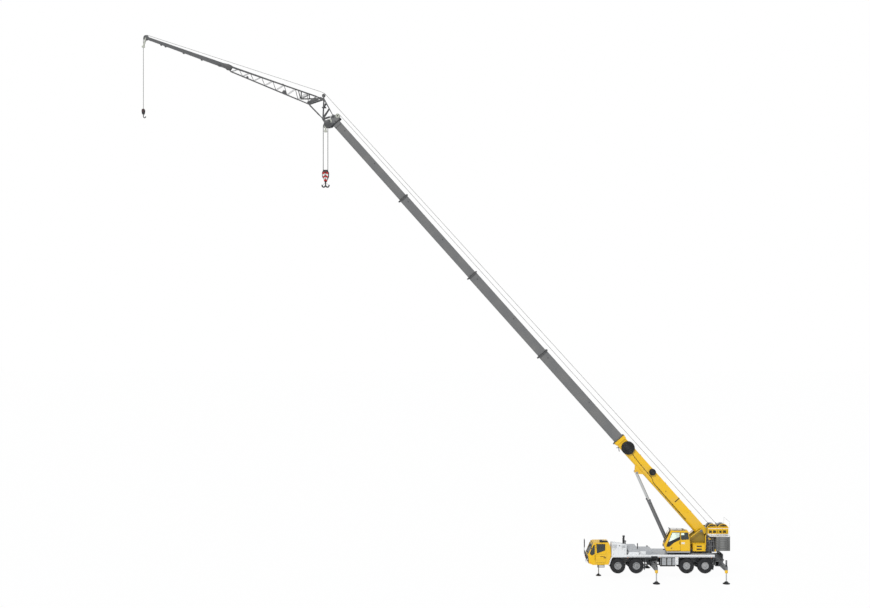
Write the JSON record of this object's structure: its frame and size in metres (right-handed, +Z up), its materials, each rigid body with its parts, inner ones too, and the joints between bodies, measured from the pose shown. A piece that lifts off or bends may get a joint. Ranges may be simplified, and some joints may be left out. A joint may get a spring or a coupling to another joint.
{
  "type": "mobile crane, scale model at 1:2",
  "caption": "All-terrain mobile crane with a telescopic boom run out, an offset lattice jib, driver and operator cabs, outriggers down and a stacked counterweight.",
  "frame": {"origin": "on the ground, under the slewing axis", "axes": "-X is the crane's front, where the boom points; -Y is its left side; +Z is up"},
  "size_m": [26.4363, 3.416, 24.4206],
  "materials": {
    "boom_grey": "satin",
    "cab_interior": "matte",
    "chrome": "polished",
    "dark_grey": "satin",
    "engine_iron": "matte",
    "frame_black": "satin",
    "glass": "gloss",
    "grey_paint": "satin",
    "hook_black": "satin",
    "jack_steel": "satin",
    "rim_grey": "satin",
    "tank_aluminium": "satin",
    "tyre": "matte",
    "weight_iron": "satin",
    "white_paint": "gloss",
    "yellow_paint": "gloss"
  },
  "bodies": {
    "carrier": {"chassis_frame": "dark_grey", "carrier_deck": "white_paint", "carrier_cab": "yellow_paint", "carrier_cab_glass": "glass", "carrier_cab_interior": "cab_interior", "axle_beams": "frame_black", "side_tanks": "tank_aluminium", "engine_block": "engine_iron"},
    "cab_door": {"cab_door": "yellow_paint"},
    "wheel_1_left": {"tyre_1_left": "tyre", "rim_1_left": "rim_grey"},
    "knuckle_1_left": {"knuckle_1_left": "frame_black"},
    "wheel_1_right": {"tyre_1_right": "tyre", "rim_1_right": "rim_grey"},
    "knuckle_1_right": {"knuckle_1_right": "frame_black"},
    "wheel_2_left": {"tyre_2_left": "tyre", "rim_2_left": "rim_grey"},
    "knuckle_2_left": {"knuckle_2_left": "frame_black"},
    "wheel_2_right": {"tyre_2_right": "tyre", "rim_2_right": "rim_grey"},
    "knuckle_2_right": {"knuckle_2_right": "frame_black"},
    "wheel_3_left": {"tyre_3_left": "tyre", "rim_3_left": "rim_grey"},
    "wheel_3_right": {"tyre_3_right": "tyre", "rim_3_right": "rim_grey"},
    "wheel_4_left": {"tyre_4_left": "tyre", "rim_4_left": "rim_grey"},
    "wheel_4_right": {"tyre_4_right": "tyre", "rim_4_right": "rim_grey"},
    "outrigger_beam_front_left": {"outrigger_beam_front_left": "grey_paint"},
    "jack_front_left": {"jack_front_left": "jack_steel"},
    "outrigger_beam_front_right": {"outrigger_beam_front_right": "grey_paint"},
    "jack_front_right": {"jack_front_right": "jack_steel"},
    "outrigger_beam_rear_left": {"outrigger_beam_rear_left": "grey_paint"},
    "jack_rear_left": {"jack_rear_left": "jack_steel"},
    "outrigger_beam_rear_right": {"outrigger_beam_rear_right": "grey_paint"},
    "jack_rear_right": {"jack_rear_right": "jack_steel"},
    "front_jack": {"front_jack": "jack_steel"},
    "superstructure": {"superstructure_frame": "yellow_paint", "operator_cab": "yellow_paint", "operator_cab_glass": "glass", "operator_cab_interior": "cab_interior", "counterweight": "weight_iron"},
    "operator_door": {"operator_cab_door": "yellow_paint"},
    "main_winch": {"main_winch_drum": "yellow_paint"},
    "jib_winch": {"jib_winch_drum": "yellow_paint"},
    "boom_base": {"boom_base": "yellow_paint"},
    "luff_barrels": {"luff_barrels": "dark_grey"},
    "luff_rods": {"luff_rods": "chrome"},
    "boom_section_1": {"boom_section_1": "boom_grey"},
    "boom_section_2": {"boom_section_2": "boom_grey"},
    "boom_section_3": {"boom_section_3": "boom_grey"},
    "boom_section_4": {"boom_section_4": "boom_grey", "jib_adapter": "grey_paint"},
    "jib": {"jib": "grey_paint"},
    "main_limit_weight": {"main_limit_weight": "hook_black"},
    "main_hook": {"main_hook": "hook_black"},
    "jib_limit_weight": {"jib_limit_weight": "hook_black"},
    "jib_hook": {"jib_hook": "hook_black"}
  },
  "joints": [
    {"name": "cab_door_hinge", "type": "hinge", "parent": "carrier", "child": "cab_door", "pos_m": [-4.058, -0.653, 1.16], "axis": [0, 0, -1], "range_deg": [0, 75]},
    {"name": "steer_1_left", "type": "hinge", "parent": "carrier", "child": "knuckle_1_left", "pos_m": [-3.065, -0.53, 0.587], "axis": [0, 0, 1], "range_deg": [-35, 35]},
    {"name": "wheel_1_left_spin", "type": "hinge", "parent": "knuckle_1_left", "child": "wheel_1_left", "pos_m": [-3.065, -0.592, 0.587], "axis": [0, 1, 0], "continuous": true},
    {"name": "steer_1_right", "type": "hinge", "parent": "carrier", "child": "knuckle_1_right", "pos_m": [-3.065, 0.53, 0.587], "axis": [0, 0, 1], "range_deg": [-35, 35]},
    {"name": "wheel_1_right_spin", "type": "hinge", "parent": "knuckle_1_right", "child": "wheel_1_right", "pos_m": [-3.065, 0.592, 0.587], "axis": [0, 1, 0], "continuous": true},
    {"name": "steer_2_left", "type": "hinge", "parent": "carrier", "child": "knuckle_2_left", "pos_m": [-2.24, -0.53, 0.587], "axis": [0, 0, 1], "range_deg": [-35, 35]},
    {"name": "wheel_2_left_spin", "type": "hinge", "parent": "knuckle_2_left", "child": "wheel_2_left", "pos_m": [-2.24, -0.592, 0.587], "axis": [0, 1, 0], "continuous": true},
    {"name": "steer_2_right", "type": "hinge", "parent": "carrier", "child": "knuckle_2_right", "pos_m": [-2.24, 0.53, 0.587], "axis": [0, 0, 1], "range_deg": [-35, 35]},
    {"name": "wheel_2_right_spin", "type": "hinge", "parent": "knuckle_2_right", "child": "wheel_2_right", "pos_m": [-2.24, 0.592, 0.587], "axis": [0, 1, 0], "continuous": true},
    {"name": "wheel_3_left_spin", "type": "hinge", "parent": "carrier", "child": "wheel_3_left", "pos_m": [0, -0.592, 0.587], "axis": [0, 1, 0], "continuous": true},
    {"name": "wheel_3_right_spin", "type": "hinge", "parent": "carrier", "child": "wheel_3_right", "pos_m": [0, 0.592, 0.587], "axis": [0, 1, 0], "continuous": true},
    {"name": "wheel_4_left_spin", "type": "hinge", "parent": "carrier", "child": "wheel_4_left", "pos_m": [0.825, -0.592, 0.587], "axis": [0, 1, 0], "continuous": true},
    {"name": "wheel_4_right_spin", "type": "hinge", "parent": "carrier", "child": "wheel_4_right", "pos_m": [0.825, 0.592, 0.587], "axis": [0, 1, 0], "continuous": true},
    {"name": "outrigger_front_left_slide", "type": "slide", "parent": "carrier", "child": "outrigger_beam_front_left", "axis": [0, -1, 0], "range_m": [-0.925, 0]},
    {"name": "jack_front_left_slide", "type": "slide", "parent": "outrigger_beam_front_left", "child": "jack_front_left", "axis": [0, 0, -1], "range_m": [-0.34, 0]},
    {"name": "outrigger_front_right_slide", "type": "slide", "parent": "carrier", "child": "outrigger_beam_front_right", "axis": [0, 1, 0], "range_m": [-0.925, 0]},
    {"name": "jack_front_right_slide", "type": "slide", "parent": "outrigger_beam_front_right", "child": "jack_front_right", "axis": [0, 0, -1], "range_m": [-0.34, 0]},
    {"name": "outrigger_rear_left_slide", "type": "slide", "parent": "carrier", "child": "outrigger_beam_rear_left", "axis": [0, -1, 0], "range_m": [-0.925, 0]},
    {"name": "jack_rear_left_slide", "type": "slide", "parent": "outrigger_beam_rear_left", "child": "jack_rear_left", "axis": [0, 0, -1], "range_m": [-0.34, 0]},
    {"name": "outrigger_rear_right_slide", "type": "slide", "parent": "carrier", "child": "outrigger_beam_rear_right", "axis": [0, 1, 0], "range_m": [-0.925, 0]},
    {"name": "jack_rear_right_slide", "type": "slide", "parent": "outrigger_beam_rear_right", "child": "jack_rear_right", "axis": [0, 0, -1], "range_m": [-0.34, 0]},
    {"name": "front_jack_slide", "type": "slide", "parent": "carrier", "child": "front_jack", "axis": [0, 0, -1], "range_m": [-0.26, 0]},
    {"name": "slew", "type": "hinge", "parent": "carrier", "child": "superstructure", "pos_m": [0, 0, 1.1], "axis": [0, 0, 1], "continuous": true},
    {"name": "operator_door_slide", "type": "slide", "parent": "superstructure", "child": "operator_door", "axis": [1, 0, 0], "range_m": [0, 0.52]},
    {"name": "main_winch_spin", "type": "hinge", "parent": "superstructure", "child": "main_winch", "pos_m": [1.24, 0, 2.143], "axis": [0, 1, 0], "continuous": true},
    {"name": "jib_winch_spin", "type": "hinge", "parent": "superstructure", "child": "jib_winch", "pos_m": [1.725, 0, 2.143], "axis": [0, 1, 0], "continuous": true},
    {"name": "luff", "type": "hinge", "parent": "superstructure", "child": "boom_base", "pos_m": [0.725, 0, 2.085], "axis": [0, 1, 0], "range_deg": [-48.2, 31.8]},
    {"name": "luff_barrel_swing", "type": "hinge", "parent": "superstructure", "child": "luff_barrels", "pos_m": [-0.665, 0, 1.385], "axis": [0, 1, 0], "range_deg": [-70, 60]},
    {"name": "luff_rod_slide", "type": "slide", "parent": "luff_barrels", "child": "luff_rods", "axis": [-0.4106, 0, 0.9118], "range_m": [-1.3, 0.9]},
    {"name": "telescope_1", "type": "slide", "parent": "boom_base", "child": "boom_section_1", "axis": [-0.6665, 0, 0.7455], "range_m": [-5.1, 0]},
    {"name": "telescope_2", "type": "slide", "parent": "boom_section_1", "child": "boom_section_2", "axis": [-0.6665, 0, 0.7455], "range_m": [-4.68, 0]},
    {"name": "telescope_3", "type": "slide", "parent": "boom_section_2", "child": "boom_section_3", "axis": [-0.6665, 0, 0.7455], "range_m": [-4.58, 0]},
    {"name": "telescope_4", "type": "slide", "parent": "boom_section_3", "child": "boom_section_4", "axis": [-0.6665, 0, 0.7455], "range_m": [-4.17, 0]},
    {"name": "jib_offset", "type": "hinge", "parent": "boom_section_4", "child": "jib", "pos_m": [-16.24425, 0, 21.52016], "axis": [0, -1, 0], "range_deg": [-29.1, 10.9]},
    {"name": "main_weight_swing", "type": "hinge", "parent": "boom_section_4", "child": "main_limit_weight", "pos_m": [-16.17061, 0, 20.32908], "axis": [0, 1, 0], "range_deg": [-60, 60]},
    {"name": "main_hoist", "type": "slide", "parent": "main_limit_weight", "child": "main_hook", "axis": [0, 0, -1], "range_m": [-1.45, 9.5]},
    {"name": "jib_weight_swing", "type": "hinge", "parent": "jib", "child": "jib_limit_weight", "pos_m": [-24.27731, 0, 24.29558], "axis": [0, 1, 0], "range_deg": [-60, 60]},
    {"name": "jib_hoist", "type": "slide", "parent": "jib_limit_weight", "child": "jib_hook", "axis": [0, 0, -1], "range_m": [-2.2, 9.5]}
  ],
  "couplings": [
    {"joint": "steer_1_right", "follows": "steer_1_left", "ratio": 1},
    {"joint": "steer_2_left", "follows": "steer_1_left", "ratio": 0.62},
    {"joint": "steer_2_right", "follows": "steer_1_left", "ratio": 0.62},
    {"joint": "luff_barrel_swing", "follows": "luff", "ratio": 1.04},
    {"joint": "luff_rod_slide", "follows": "luff", "m_per_rad": 1.39},
    {"joint": "main_weight_swing", "follows": "luff", "ratio": -1},
    {"joint": "jib_weight_swing", "follows": "luff", "ratio": -1}
  ]
}
